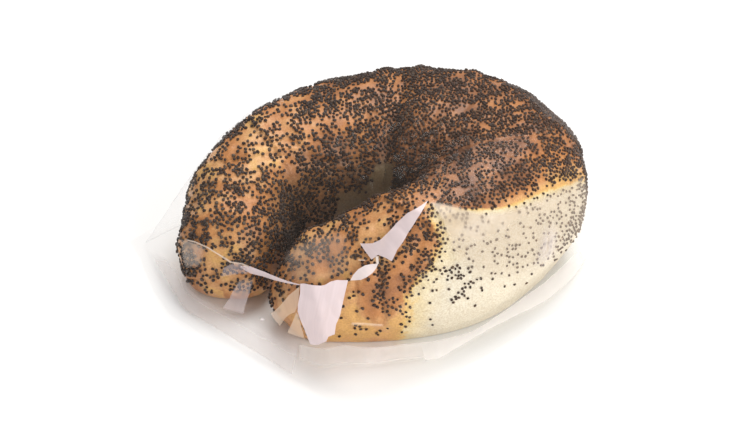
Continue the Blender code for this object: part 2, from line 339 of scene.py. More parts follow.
# Places with more or less browning: share of the arm, section angle, radius in mm, change.
OVEN_AND_SHADE_SPOTS = (
    (0.93, 80, 7, -0.12), (0.982, -10, 9, -0.4), (0.970, 20, 5, -0.2), (0.950, 22, 5, 0.36),
    (0.945, 4, 5, 0.2), (-0.073, 72, 4, -0.3), (-0.086, 48, 5, -0.3), (1.02, 50, 4, 0.1),
    (0.82, 118, 4, -0.2), (0.12, 90, 12, -0.12), (1.055, 12, 8, -0.1), (0.962, -14, 6, -0.35),
    (0.915, -16, 8, -0.3), (0.895, 44, 8, -0.16), (0.72, 90, 8, 0.1), (1.005, 100, 6, -0.15),
    # The last two spots on the next line darken the left end's underside: painted shade there as well as
    # browning.
    (1.045, 24, 5, 0.25), (-0.065, -22, 7, 0.5), (-0.02, -25, 6, 0.4),
    (0.957, 8, 6, 0.1), (0.912, 12, 7, 0.28), (0.951, -6, 6, 0.25), (0.05, 25, 14, -0.12),
    (0.66, 42, 12, -0.18), (1, 62, 9, -0.14),
)


def baking_and_shade(points, normals, share, degrees):
    """bake, cream and dough at points of the crust.

    bake follows the arm, sinks towards the foot, takes HOLE_BAKED_AND_SHADED inside the hole and falls
    to a golden rim at the pale flank; the rise inside the hole darkens it as painted shade. cream is
    0.5 + d / 16, d being the mm past the flank's edge. dough is 1 on the hole's wall under
    BARE_DOUGH, and about half in its depth, where it is painted shade.
    """
    down = (np.interp(share, *FLANK_TOP) - degrees) * MM_PER_DEGREE
    back = (np.interp(degrees, *FLANK_FRONT) - share) * ARM
    ragged = 0.35 * waves(points, 9, 11) + 0.3 * waves(points, 3.5, 12)
    ragged = ragged + 1.2 * waves(points, 15, 16) * smooth(-share, -0.66, -0.60)
    cream = np.minimum(2.2 * down, back) + ragged
    bake = np.interp(share, *BAKED) * (0.45 + 0.55 * smooth(normals[..., 2], -0.5, 0.5))
    inward = smooth(-np.cos(np.radians(degrees)), 0.45, 0.90)
    inward = inward * smooth(share, -0.08, 0.02) * smooth(-share, -0.8, -0.7)
    # Painted shade: inside the hole the browning is pulled up towards HOLE_BAKED_AND_SHADED.
    bake = bake + (HOLE_BAKED_AND_SHADED - bake) * inward
    bake = bake + 0.10 * waves(points, 16, 13) + 0.07 * waves(points, 5, 14)
    glow = smooth((down + 0.6 * ragged) / np.interp(share, *GOLDEN_RIM), -1.0, 0.0)
    glow = glow * smooth(-share, -0.80, -0.74) * smooth(share, 0.58, 0.64)
    glow = np.maximum(glow, smooth(back + ragged, -5.0, 0.0) * smooth(-degrees, -26, 6))
    bake = bake * (1 - 0.9 * glow)
    for at, turned, radius, change in OVEN_AND_SHADE_SPOTS:
        spot = arm(at * ARM, math.radians(turned))
        bake = bake + change * np.exp(-((points - spot) ** 2).sum(-1) / radius ** 2)
    dough = smooth(np.interp(share, *BARE_DOUGH) - points[..., 2], -2, 2)
    dough = dough * smooth(share, 0.19, 0.24) * smooth(-share, -0.50, -0.45)
    # Painted shade: deep in the hole the crust takes about half of the SHADED_DOUGH colour.
    shade = smooth(-points[..., 2], -38, -26) * (1 - 0.3 * np.clip(waves(points, 4, 15), 0, 1))
    dough = inward * np.maximum(dough, 0.45 * shade)
    return np.clip(bake, 0, 1), np.clip(0.5 + cream / 16, 0, 1), dough


# %% The crust, closed by a fan at each end
turned = (np.degrees(angles) + 90) % 360 - 90
bake, cream, dough = baking_and_shade(crust_points, crust_normals, (lengths / ARM)[:, None], turned[None, :])

rows = len(lengths)
poles = crust_points[[0, -1]].mean(axis=1)
ring = np.arange(SIDES)
ends = fan(rows * SIDES, ring), fan(rows * SIDES + 1, (rows - 1) * SIDES + ring)[:, [0, 2, 1]]


def with_poles(values):
    """Grid values plus one for each end point."""
    return np.concatenate([values.ravel(), values[[0, -1]].mean(axis=1)])


crust_object = mesh_object("crust", np.concatenate([crust_points.reshape(-1, 3), poles]),
                           grid_faces(rows, SIDES), *ends, bake=with_poles(bake),
                           cream=with_poles(cream), dough=with_poles(dough))
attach(crust_object, "root")
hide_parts("roll")

# %% [markdown]
# ## Material helpers and the crust's colour
#
# Colours come from ramps over the stored numbers, so each region of the crust is browned where the
# oven browned it, and darkened further as painted shade inside the hole and under the left end.
# Fine noise in object space breaks the ramps up, and a bump gives the pores.

# %% Node helpers
def socket_of(source):
    """A socket as it is, or the first output of a node."""
    return getattr(source, "outputs", (source,))[0]


def new_material(name):
    """An empty node material, with a function that adds shader nodes and links to it."""
    material = bpy.data.materials.new(name)
    material.use_nodes = True
    tree = material.node_tree
    tree.nodes.clear()
    print("material:", name)

    def add(kind, links=(), **values):
        node = tree.nodes.new("ShaderNode" + kind)
        for key, value in values.items():
            if hasattr(node, key):
                setattr(node, key, value)
            else:
                node.inputs[key.replace("_", " ")].default_value = value
        for socket, source in dict(links).items():
            tree.links.new(socket_of(source), node.inputs[socket])
        return node

    return material, add


def ramp(add, source, stops):
    """A colour ramp over a value; stops are (place, (r, g, b))."""
    node = add("ValToRGB", {"Fac": source})
    elements = node.color_ramp.elements
    while len(elements) < len(stops):
        elements.new(0.5)
    for element, (place, colour) in zip(elements, stops):
        element.position = place
        element.color = (*colour, 1.0)
    return node


def blend_colours(add, factor, one, two, way="MIX"):
    """One colour over another."""
    node = add("Mix", data_type="RGBA", blend_type=way)
    for socket, source in ((0, factor), (6, one), (7, two)):
        if isinstance(source, (int, float)):
            node.inputs[socket].default_value = source
        elif isinstance(source, tuple):
            node.inputs[socket].default_value = (*source, 1.0)
        else:
            node.id_data.links.new(socket_of(source), node.inputs[socket])
    return node.outputs[2]


def noise(add, scale, detail=3.0):
    """Object-space noise about 0.5; scale is in lumps per metre."""
    place = add("TexCoord").outputs["Object"]
    return add("TexNoise", {"Vector": place}, Scale=scale, Detail=detail)


def stored(add, name):
    """A number kept on the mesh's points."""
    return add("Attribute", attribute_name=name).outputs["Fac"]


def reckon(add, operation, value, number):
    """A value and a constant number, joined by one operation."""
    node = add("Math", {0: value}, operation=operation)
    node.inputs[1].default_value = number
    return node


def shifted(add, value, other, weight):
    """value + (other - 0.5) * weight."""
    scaled = reckon(add, "MULTIPLY", reckon(add, "SUBTRACT", other, 0.5), weight)
    return add("Math", {0: value, 1: scaled}, operation="ADD")


# %% Crust material
HONEY, GOLDEN, ORANGE = (0.75, 0.43, 0.145), (0.70, 0.375, 0.155), (0.57, 0.240, 0.075)
# SHADED_DOUGH is darkened to how the unbrowned wall looks in the hole's shade: painted shade.
BROWN, DEEP, SHADED_DOUGH = (0.41, 0.165, 0.058), (0.22, 0.09, 0.04), (0.26, 0.19, 0.105)
YELLOW, BUTTER, CREAM = (0.82, 0.54, 0.18), (0.82, 0.68, 0.41), (0.81, 0.735, 0.585)

crust_material, add = new_material("baked_crust")
baked = shifted(add, stored(add, "bake"), noise(add, 420, 4.0), 0.45)
brown = ramp(add, baked, ((0.0, HONEY), (0.14, GOLDEN), (0.38, ORANGE), (0.72, BROWN), (1.0, DEEP)))
edge = shifted(add, stored(add, "cream"), noise(add, 700), 0.16)
past = ramp(add, edge, ((0.46, (0, 0, 0)), (0.54, (1, 1, 1))))
pale = ramp(add, edge, ((0.48, HONEY), (0.56, YELLOW), (0.66, BUTTER), (1.0, CREAM)))
colour = blend_colours(add, past, brown, pale)
colour = blend_colours(add, stored(add, "dough"), colour, SHADED_DOUGH)
speckle = ramp(add, noise(add, 1900, 2.0), ((0.30, (0.80, 0.74, 0.66)), (0.62, (1.0, 1.0, 1.0))))
colour = blend_colours(add, 1.0, colour, speckle, "MULTIPLY")
pores = add("Bump", {"Height": noise(add, 1500, 4.0)}, Strength=0.35, Distance=0.0004)
shader = add("BsdfPrincipled", {"Base Color": colour, "Normal": pores},
             Roughness=0.42, Specular_IOR_Level=0.35, Coat_Weight=0.12, Coat_Roughness=0.3)
add("OutputMaterial", {"Surface": shader})
crust_object.data.materials.append(crust_material)

# %% [markdown]
# ## The poppy seeds
#
# A poppy seed is a kidney about 1.2 mm long. Every seed is a real mesh, because at this distance
# its own shadow and dark side are what makes the crust look seeded; painted dots look printed.
# They are strewn by a rule. A density map says how many seeds a square millimetre holds, and each
# seed keeps the room that this leaves it, so that seeds crowd but don't lie in one another. Plain
# random places would make worm-like rows, because nothing keeps two seeds apart.

# %% How many seeds lie where
CANDIDATES = 500000
CELL = 0.50             # mm, side of the cell of space that holds at most one candidate
MOST = 1.10             # seeds per square millimetre in a crowd
ROOM = (0.82, 1.15)     # mm, least and largest room of a seed
PACKING = 0.84          # a seed's room is this over the root of the number wanted
# How readily seeds crowd on the arm and in the hole, and how strong their clumps are; then the
# height in mm at which the flank's seeds begin, and their number on it. All by share of the arm.
LEVEL = ((-0.12, 0.0, 0.15, 0.3, 0.45, 0.8, 0.88, 0.95, 1.1),
         (0.46, 0.52, 0.50, 0.63, 0.72, 0.65, 0.54, 0.42, 0.37))
HOLE_LEVEL = ((0.1, 0.25, 0.5, 0.75), (0.64, 0.66, 0.76, 0.70))
CLUMPING = ((0.25, 0.5), (1.7, 1.35))
FLANK_LOWEST = ((0.62, 0.70, 0.78), (-6.0, 4.0, 14.0))
FLANK_NUMBER = ((0.62, 0.68, 0.80, 0.88), (0.44, 0.29, 0.20, 0.24))
# Spots with fewer or more seeds, in the same four numbers.
SPOTS = (
    (0.102, 80, 4, -0.7), (0.122, 87, 3.5, -0.6), (0.147, 96, 4, -0.65), (0.205, 104, 4, -0.5),
    (0.166, 104, 3.5, -0.5), (0.107, 124, 3.3, -0.8), (0.103, 141, 3.3, -0.85), (0.016, 50, 3.3, -0.75),
    (-0.016, 73, 3, -0.7), (-0.073, 72, 3.4, -0.95), (-0.083, 42, 3.4, -0.95), (-0.089, 62, 2.6, -0.9),
    (0.837, 119, 2.6, -0.95), (0.801, 125, 2.4, -0.9), (0.848, 90, 3, -0.9), (0.941, 66, 4, -0.7),
    (0.929, 78, 4.2, -0.6), (0.914, 87, 3.5, -0.6), (1.012, 48, 3, -0.6), (1.034, 52, 3.5, -0.85),
    (1.05, 18, 6, -0.97), (1.062, 3, 7, -0.97), (0.972, 12, 4.5, -0.85), (0.984, -9, 8, -0.97),
    (0.966, 28, 3.5, -0.8), (0.950, -2, 6, -0.75), (0.915, -15, 7, -0.9), (0.947, 22, 3, -0.6),
    (0.908, 8, 4, -0.7), (0.913, 24, 3, -0.5), (0.66, 45, 8, 0.2), (0.6, 10, 9, 0.3),
    (0.05, 25, 14, -0.4), (0.16, 45, 11, -0.3), (0.78, 112, 9, -0.25),
)
SEED_ROWS = (           # rows of crowded seeds: path, half-width in mm, change
    (((0.926, 38), (0.929, 21), (0.932, 6)), 1.4, 1.3),
    (((0.829, 7), (0.837, 3), (0.844, 0), (0.849, -2)), 1.1, 1.2),
    (((0.849, 18), (0.844, 15), (0.840, 12)), 1.5, 1.4),
    (((0.64, 14), (0.66, 6), (0.69, -6)), 2.5, 0.4),
    (((0.975, 52), (1.00, 62), (1.02, 74)), 4.0, 0.26),
)


def seed_density(points, normals, share, degrees):
    """Seeds per square millimetre: clumped on the arm, crowded in the hole, thin on the pale flank;
    and how far a place belongs to that flank, 0 to 1.

    A smooth step over level + clump noise gives crowds with nearly bare crust between them.
    """
    inner = smooth(-np.cos(np.radians(degrees)), 0.36, 0.74) * smooth(-share, -0.82, -0.72)
    clumps = np.interp(share, *CLUMPING) * (0.52 - cells(points, 3.4, 21))
    clumps = clumps + 0.07 * waves(points, 6, 22) + 0.10 * waves(points, 13, 23)
    level = np.interp(share, *LEVEL) * (1 - inner) + np.interp(share, *HOLE_LEVEL) * inner
    level = level + 0.35 * nearness(points, CREASES[0][0], 5.0)
    crowd = MOST * (0.15 + 0.85 * smooth(level + clumps * (1 - 0.5 * inner), 0.20, 0.85))
    _, cream, dough = baking_and_shade(points, normals, share, degrees)
    crowd = crowd * (1 - 0.7 * smooth(cream, 0.05, 0.45) * smooth(-share, -0.84, -0.76))
    flank = smooth(cream, 0.55, 0.70)
    height = points[..., 2]
    lowest = np.interp(share, *FLANK_LOWEST)
    thin = 0.02 + np.interp(share, *FLANK_NUMBER) * smooth(height, lowest, lowest + 16)
    number = crowd * (1 - flank) + thin * (1 + clumps) * flank
    for at, turned, radius, change in SPOTS:
        spot = arm(at * ARM, math.radians(turned))
        number = number * (1 + change * np.exp(-((points - spot) ** 2).sum(-1) / radius ** 2))
    for path, width, change in SEED_ROWS:
        number = number + change * nearness(points, path, width)
    number = number * (1 - 0.95 * smooth(dough, 0.5, 0.8)) * smooth(height, 1.5, 6 + 5 * inner)
    return np.clip(number * smooth(normals[..., 2], -0.55, 0.0), 0, MOST), flank


# %% A rule that spreads points
def neighbours(points, reach):
    """Pairs of points nearer than reach, and their distance; a cell of space holds one point at most.

    A cell's number is (x * span + y) * span + z, so one jump of it leads to a neighbour cell.
    """
    span = 4096
    cell = np.floor(points / CELL).astype(np.int64)
    cell -= cell.min(axis=0) - 8
    code = (cell[:, 0] * span + cell[:, 1]) * span + cell[:, 2]
    order = np.argsort(code)
    code = code[order]
    steps = math.ceil(reach / CELL)
    ways = np.arange(-steps, steps + 1)
    jumps = ((ways[:, None, None] * span + ways[None, :, None]) * span + ways[None, None, :]).ravel()
    one, two = [], []
    for jump in jumps[jumps > 0]:
        at = np.searchsorted(code, code + jump).clip(0, len(code) - 1)
        hit = np.flatnonzero(code[at] == code + jump)
        one.append(order[hit])
        two.append(order[at[hit]])
    one, two = np.concatenate(one), np.concatenate(two)
    gap = np.linalg.norm(points[one] - points[two], axis=1)
    near = gap < reach
    return one[near], two[near], gap[near]


def spread(points, room, rank):
    """Keep points so that no two lie closer than the mean of their rooms.

    In each round a point that outranks all its free neighbours stays, and they go.
    """
    one, two, gap = neighbours(points, room.max())
    close = gap < (room[one] + room[two]) / 2
    one, two = one[close], two[close]
    free, kept = np.ones(len(points), bool), np.zeros(len(points), bool)
    while free.any():
        live = free[one] & free[two]
        one, two = one[live], two[live]
        stays = free.copy()
        stays[np.where(rank[one] < rank[two], one, two)] = False
        kept |= stays
        free &= ~stays
        free[two[stays[one]]] = False
        free[one[stays[two]]] = False
    return np.flatnonzero(kept)


# %% Where the seeds lie
draw = np.random.default_rng(5)
seed_s = draw.uniform(-END_RUN, ARM + END_RUN, CANDIDATES)
seed_angle = draw.uniform(math.radians(-60), math.radians(240), CANDIDATES)
bare = arm(seed_s, seed_angle)
step_s = arm(seed_s + 0.2, seed_angle) - bare
step_a = arm(seed_s, seed_angle + 0.01) - bare
area = np.linalg.norm(np.cross(step_s, step_a), axis=-1)
even = draw.uniform(size=CANDIDATES) < area / np.percentile(area, 96)
_, first = np.unique(np.floor(bare[even] / CELL).astype(int), axis=0, return_index=True)
alone = np.flatnonzero(even)[first]
seed_s, seed_angle = seed_s[alone], seed_angle[alone]
seed_points, seed_normals = crust(seed_s, seed_angle)
wanted, seed_flank = seed_density(seed_points, seed_normals, seed_s / ARM, np.degrees(seed_angle))
room = (PACKING / np.sqrt(wanted + 1e-6)).clip(*ROOM)
chosen = np.flatnonzero(wanted > 0.004)
chosen = chosen[spread(bare[alone][chosen], room[chosen], draw.uniform(size=len(chosen)))]
thinned = draw.uniform(size=len(chosen)) < wanted[chosen] * (ROOM[1] / PACKING) ** 2
seeds_at = chosen[thinned]
print("candidates:", len(alone), "seeds:", len(seeds_at))


# %% The seed, and all of them as joined meshes
SEED = (1.18, 0.98, 0.84)    # length, width and thickness in mm
SEED_BEND = 0.22
SEED_SIDES, SEED_RINGS = 6, 3
SEED_TILT, SEED_LIFT = 0.18, 0.45    # usual tilt, and lift as a share of half the thickness
# By share of the arm: the seeds' size, and how slate-grey they are, from 0, brown, to 1.
SEED_GROWTH = ((0.2, 0.5, 0.9, 1.0), (1.04, 0.95, 0.95, 1.02))
SLATE = ((0.25, 0.6, 0.85, 1.0), (0.8, 0.35, 0.35, 0.6))


def kidney():
    """One seed of unit size: a ball with its poles on x, whose y grows by SEED_BEND x^2."""
    along = np.linspace(0, math.pi, SEED_RINGS + 2)[1:-1]
    around = np.linspace(0, math.tau, SEED_SIDES, endpoint=False)
    t, a = np.meshgrid(along, around, indexing="ij")
    body = np.stack([-np.cos(t), np.sin(t) * np.cos(a), np.sin(t) * np.sin(a)], axis=-1).reshape(-1, 3)
    body = np.concatenate([body, [(-1, 0, 0), (1, 0, 0)]])
    body[:, 1] += SEED_BEND * body[:, 0] ** 2
    quads = grid_faces(SEED_RINGS, SEED_SIDES)
    triangles = np.concatenate([quads[:, [0, 3, 2]], quads[:, [0, 2, 1]]])
    ring = np.arange(SEED_SIDES)
    low = fan(SEED_RINGS * SEED_SIDES, ring)[:, [0, 2, 1]]
    high = fan(SEED_RINGS * SEED_SIDES + 1, (SEED_RINGS - 1) * SEED_SIDES + ring)
    return body, np.concatenate([triangles, low, high])


def strew(name, chosen, seed):
    """A joined mesh of kidneys lying on the crust at the chosen candidates.

    Each is turned by chance about the crust's normal, tilted by SEED_TILT and lifted by SEED_LIFT.
    """
    body, triangles = kidney()
    pick = np.random.default_rng(seed)
    count = len(chosen)
    up = seed_normals[chosen]
    side = unit(np.cross(up, pick.normal(size=(count, 3))))
    up = unit(up + side * pick.normal(scale=SEED_TILT, size=(count, 1)))
    side = unit(np.cross(np.cross(up, side), up))
    axes = np.stack([side, np.cross(up, side), up], axis=1)
    size = np.array(SEED) / 2 * pick.normal(1.0, 0.10, size=(count, 1)).clip(0.75, 1.25)
    size = size * pick.normal(1.0, 0.06, size=(count, 3)).clip(0.8, 1.2)
    share = seed_s[chosen] / ARM
    size = size * np.interp(share, *SEED_GROWTH)[:, None]
    size = size * (1 - 0.15 * seed_flank[chosen])[:, None]
    local = body[None] * size[:, None]
    lift = size[:, 2:3] * SEED_LIFT + pick.uniform(-0.05, 0.18, (count, 1))
    middle = seed_points[chosen] + seed_normals[chosen] * lift
    points = np.einsum("nvi,nij->nvj", local, axes) + middle[:, None]
    faces = triangles[None] + (np.arange(count) * len(body))[:, None, None]
    tone = np.repeat(pick.uniform(size=count), len(body))
    slate = (np.interp(share, *SLATE) + pick.normal(scale=0.2, size=count)).clip(0, 1)
    slate = np.repeat(slate, len(body))
    return mesh_object(name, points.reshape(-1, 3), faces.reshape(-1, 3), tone=tone, slate=slate)


# %% The seeds, in four pieces from the left end to the front end
by_place = seeds_at[np.argsort(seed_s[seeds_at])]
seed_objects = [strew("poppy_seeds_" + part, group, 31 + n) for n, (part, group) in enumerate(
    zip(("left", "back", "right", "front"), np.array_split(by_place, 4)))]

seed_material, add = new_material("poppy_seed")
tone = ramp(add, stored(add, "tone"), ((0.0, (0.040, 0.017, 0.009)), (0.5, (0.064, 0.030, 0.016)),
                                       (0.85, (0.092, 0.050, 0.032)), (1.0, (0.14, 0.075, 0.040))))
cool = ramp(add, stored(add, "tone"), ((0.0, (0.036, 0.025, 0.022)), (0.5, (0.056, 0.041, 0.036)),
                                       (0.85, (0.084, 0.066, 0.057)), (1.0, (0.12, 0.085, 0.058))))
tone = blend_colours(add, stored(add, "slate"), tone, cool)
pits = add("Bump", {"Height": noise(add, 5200, 2.0)}, Strength=0.5, Distance=0.0002)
shader = add("BsdfPrincipled", {"Base Color": tone, "Normal": pits},
             Roughness=0.55, Specular_IOR_Level=0.16)
add("OutputMaterial", {"Surface": shader})
for thing in seed_objects:
    thing.data.materials.append(seed_material)
    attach(thing, "root")
    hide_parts("roll")

# %% [markdown]
# ## The film
#
# A bag pulled tight over a thing takes the form of its convex hull: it can't follow a hollow, so
# it spans the hole and the notch, and runs straight to the table where it is drawn out. The hull
# comes from its support function. h(n) is how far the roll reaches in direction n, and the film
# lies, along a ray d from the middle of the footprint, at the least h(n) / (n . d) over all n.

# %% The tight cover
# Where the film is drawn down to the table, x and y in mm.
PEGS = ((-77, 8), (-62, -25), (-13, -68), (20, -49), (38, -32), (59, -9), (68.5, 11))
FILM_GAP = 0.7
FILM_AZIMUTHS, FILM_ELEVATIONS = 432, 150
COARSE = 2             # the hull is worked out on every second ray and read smoothly between


def hemisphere(count):
    """Directions spread evenly over the upper half of a sphere, by the golden angle."""
    i = np.arange(count) + 0.5
    z = i / count
    turn = i * math.pi * (3 - math.sqrt(5))
    flat_part = np.sqrt(1 - z ** 2)
    return np.stack([flat_part * np.cos(turn), flat_part * np.sin(turn), z], axis=-1).astype(np.float32)


def support(points, normals):
    """h(n): the furthest reach of the points along each normal."""
    return np.concatenate([(part @ points.T).max(axis=1) for part in np.array_split(normals, 24)])


def ray_lengths(rays, normals, reach):
    """The least h(n) / (n . d) for each ray d."""
    return 1 / np.concatenate([(part @ normals.T / reach).max(axis=1)
                               for part in np.array_split(rays, 60)])


# %% The rays' lengths
held, held_normals = crust(np.linspace(-END_RUN * 0.999, ARM + END_RUN * 0.999, 170)[:, None],
                           np.linspace(0, math.tau, 72, endpoint=False)[None, :])
held = (held + held_normals * FILM_GAP).reshape(-1, 3) + SHIFT
pegs = np.array([(x, y, 0.0) for x, y in PEGS]) + SHIFT
held = np.concatenate([held, pegs]).astype(np.float32)
level_turns = np.linspace(0, math.tau, 720, endpoint=False)
level_ways = np.stack([np.cos(level_turns), np.sin(level_turns), 0 * level_turns], axis=-1)
normals = np.concatenate([hemisphere(16000), level_ways]).astype(np.float32)
reach = support(held, normals)

azimuths = np.linspace(0, math.tau, FILM_AZIMUTHS, endpoint=False)
elevations = np.linspace(0.002, math.pi / 2 - 0.004, FILM_ELEVATIONS)
coarse_az = azimuths[::COARSE]
coarse_el = np.linspace(elevations[0], elevations[-1], FILM_ELEVATIONS // COARSE)


def directions(azimuth, elevation):
    """Unit vectors for azimuth and elevation in radians."""
    azimuth, elevation = np.broadcast_arrays(azimuth, elevation)
    return np.stack([np.cos(elevation) * np.cos(azimuth), np.cos(elevation) * np.sin(azimuth),
                     np.sin(elevation)], axis=-1)


rays = directions(coarse_az[:, None], coarse_el[None, :])
coarse = ray_lengths(rays.reshape(-1, 3).astype(np.float32), normals, reach).reshape(rays.shape[:2])
print("rays:", coarse.shape, "longest:", coarse.max().round(1), "mm")


# %% The film as a function of two angles
def film_reach(azimuth, elevation):
    """Distance from the middle of the footprint to the film, read between the worked-out rays."""
    u = (azimuth / math.tau * len(coarse_az)) % len(coarse_az)
    v = (elevation - coarse_el[0]) / (coarse_el[-1] - coarse_el[0]) * (len(coarse_el) - 1)
    u, v = np.broadcast_arrays(u, np.clip(v, 0, len(coarse_el) - 1.001))
    i, j = np.floor(u).astype(int), np.floor(v).astype(int)
    a, b = u - i, v - j
    i, k = i % len(coarse_az), (i + 1) % len(coarse_az)
    low = coarse[i, j] * (1 - a) + coarse[k, j] * a
    high = coarse[i, j + 1] * (1 - a) + coarse[k, j + 1] * a
    return low * (1 - b) + high * b


def film_points(azimuth, elevation, lift=0.0):
    """Points of the film with its small wrinkles, in mm in the frame."""
    ray = directions(azimuth, elevation)
    far = film_reach(azimuth, elevation)
    at = ray * far[..., None]
    wrinkle = 0.16 * waves(at, 17, 41) + 0.07 * waves(at * (1, 1, 0.4), 6, 42)
    return ray * (far + np.abs(wrinkle) + lift)[..., None]


film_grid = film_points(azimuths[:, None], elevations[None, :])
print("film reaches", film_grid.reshape(-1, 3).max(0).round(1), "mm")

# %% The film's mesh, with a hem on the table
HEM = (1.5, 3.2, 5.0)   # mm out from the foot to each line of the hem
foot = film_grid[:, 0]          # the hem waves in plan, and stands up a little towards its edge
wave = 1 + 0.18 * np.sin(9 * azimuths) * np.sin(5 * azimuths + 1)
outward = unit(foot[:, :2])
hem = []
for n, width in enumerate(reversed(HEM)):
    edge_xy = foot[:, :2] + outward * (width * wave)[:, None]
    edge_z = 0.25 + 0.35 * (1 + np.sin(23 * azimuths + n)) * (width / HEM[-1])
    hem.append(np.concatenate([edge_xy, edge_z[:, None]], axis=1))
film_grid = np.concatenate([np.stack(hem, axis=1), film_grid], axis=1)
film_grid[..., 2] = np.clip(film_grid[..., 2], 0.15, None)
columns = film_grid.shape[1]
film_faces = grid_faces(columns, FILM_AZIMUTHS)
film_flat = film_grid.transpose(1, 0, 2).reshape(-1, 3)
film_flat = np.concatenate([film_flat, film_grid[:, -1].mean(axis=0)[None]])
crown = (columns - 1) * FILM_AZIMUTHS + np.arange(FILM_AZIMUTHS)
film_object = mesh_object("film", film_flat - SHIFT, film_faces[:, ::-1],
                          fan(len(film_flat) - 1, crown))

# %% Clear film
# It mirrors more the more it is turned away, as (facing)^6, and holds a trace of haze.
film_material, add = new_material("clear_film")
clear = add("BsdfTransparent", Color=(0.985, 0.985, 0.985, 1.0))
gloss = add("BsdfGlossy", Roughness=0.12)
facing = add("LayerWeight", Blend=0.5).outputs["Facing"]
steep = reckon(add, "POWER", facing, 6.0)
mirror = add("MapRange", {"Value": steep}, To_Min=0.006, To_Max=0.24)
haze = add("BsdfDiffuse", Color=(0.86, 0.78, 0.70, 1.0))
hazy = add("MixShader", {1: clear, 2: haze}, Fac=0.012)
skin = add("MixShader", {"Fac": mirror, 1: hazy, 2: gloss})
add("OutputMaterial", {"Surface": skin})
film_object.data.materials.append(film_material)
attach(film_object, "root")
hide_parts("film_bag")

# %% [markdown]
# ## Painted sheen of the film: folds and veils
#
# Film is seen where it turns a flat facet to the light or lies double. Such a place is bright,
# often straight-edged, and hides the seeds behind it. A mirror alone would move with every light,
# so these reflections are painted: each bright facet, veil and strip of skirt is its own thin,
# lit, whitish sheet just over the cover, which also stands for film lying double. A sheet has four
# edges, given as (azimuth, elevation) in degrees seen from the middle of the footprint, so it
# always lies on the film. Between them the sheet is a Coons patch: the blend of the upper and
# lower edge, plus the blend of the left and right edge, less the blend of the four corners.

# %% The painted sheen sheet as a patch between four edges
SHEEN_LIFT = 0.35


def along_edge(edge, t):
    """Azimuth and elevation in radians at t of an edge, 0 to 1, read linearly between its corners."""
    corners = np.radians(np.array(edge))
    place = np.linspace(0, 1, len(corners))
    return np.stack([np.interp(t, place, corners[:, 0]), np.interp(t, place, corners[:, 1])], axis=-1)


def coons(upper, lower, left, right, t, v):
    """The patch between four edges, as in the notes above; t runs along it, v down."""
    s, u = t[..., None], v[..., None]
    rows = (1 - u) * along_edge(upper, t) + u * along_edge(lower, t)
    columns = (1 - s) * along_edge(left, v) + s * along_edge(right, v)
    corners = np.radians(np.array([[upper[0], upper[-1]], [lower[0], lower[-1]]]))
    blend = (1 - u) * ((1 - s) * corners[0, 0] + s * corners[0, 1])
    return rows + columns - blend - u * ((1 - s) * corners[1, 0] + s * corners[1, 1])


def fade(t, first, last):
    """1 in the middle; rises from 0 over the first share of the way and falls over the last."""
    rise = smooth(t, 0, first) if first else 1.0
    return rise * (smooth(1 - t, 0, last) if last else 1.0)


def film_sheen_sheet(name, upper, lower, left=(), right=(), *, milky, warm=0.0, soft=(0, 0, 0, 0),
         across=80, down=40):
    """A sheet of painted sheen: a lit whitish sheet on the film that stands in for its reflection;
    left and right hold the points between the corners, if any.

    milky is its opacity along the upper and the lower edge, one number or some along the edge; warm
    is its tint, from pink-grey at 0 through white to brown at 1; soft is the share of it that fades
    at the top, bottom, left and right; across and down are its points.
    """
    t, v = np.meshgrid(np.linspace(0, 1, across), np.linspace(0, 1, down), indexing="ij")
    at = coons(upper, lower, (upper[0], *left, lower[0]), (upper[-1], *right, lower[-1]), t, v)
    points = film_points(at[..., 0], at[..., 1], SHEEN_LIFT).reshape(-1, 3)
    high, low = (np.interp(t, np.linspace(0, 1, np.size(m)), np.atleast_1d(m)) for m in milky)
    amount = (high + v * (low - high)) * fade(v, soft[0], soft[1]) * fade(t, soft[2], soft[3])
    sheet = mesh_object(name, points - SHIFT, grid_faces(across, down, closed=False), milky=amount,
                        run=t * 60, warm=np.full(t.shape, warm))
    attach(sheet, "root")
    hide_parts("film_bag")
    sheet.data.materials.append(film_sheen_material)


# %% Painted film sheen
# Lit whitish paint, mixed with clear film by the stored opacity: the film's reflections painted on,
# tinted from pink-grey through white to brown.
film_sheen_material, add = new_material("milky_film")
along = add("CombineXYZ", {"X": stored(add, "run")})
streak = add("TexNoise", {"Vector": along}, Scale=0.22, Detail=3.0)
amount = stored(add, "milky")
strength = add("MapRange", {"Value": streak}, To_Min=0.90, To_Max=1.08)
sheen_mix = add("Math", {0: amount, 1: strength}, operation="MULTIPLY")
tint = ramp(add, stored(add, "warm"), ((0.0, (0.68, 0.565, 0.565)), (0.15, (0.85, 0.71, 0.715)),
                                       (0.5, (0.87, 0.80, 0.76)), (0.8, (0.95, 0.72, 0.54)),
                                       (1.0, (0.66, 0.53, 0.40))))
milk = add("BsdfPrincipled", {"Base Color": tint}, Roughness=0.3)
clear = add("BsdfTransparent")
both = add("MixShader", {"Fac": sheen_mix, 1: clear, 2: milk})
add("OutputMaterial", {"Surface": both})

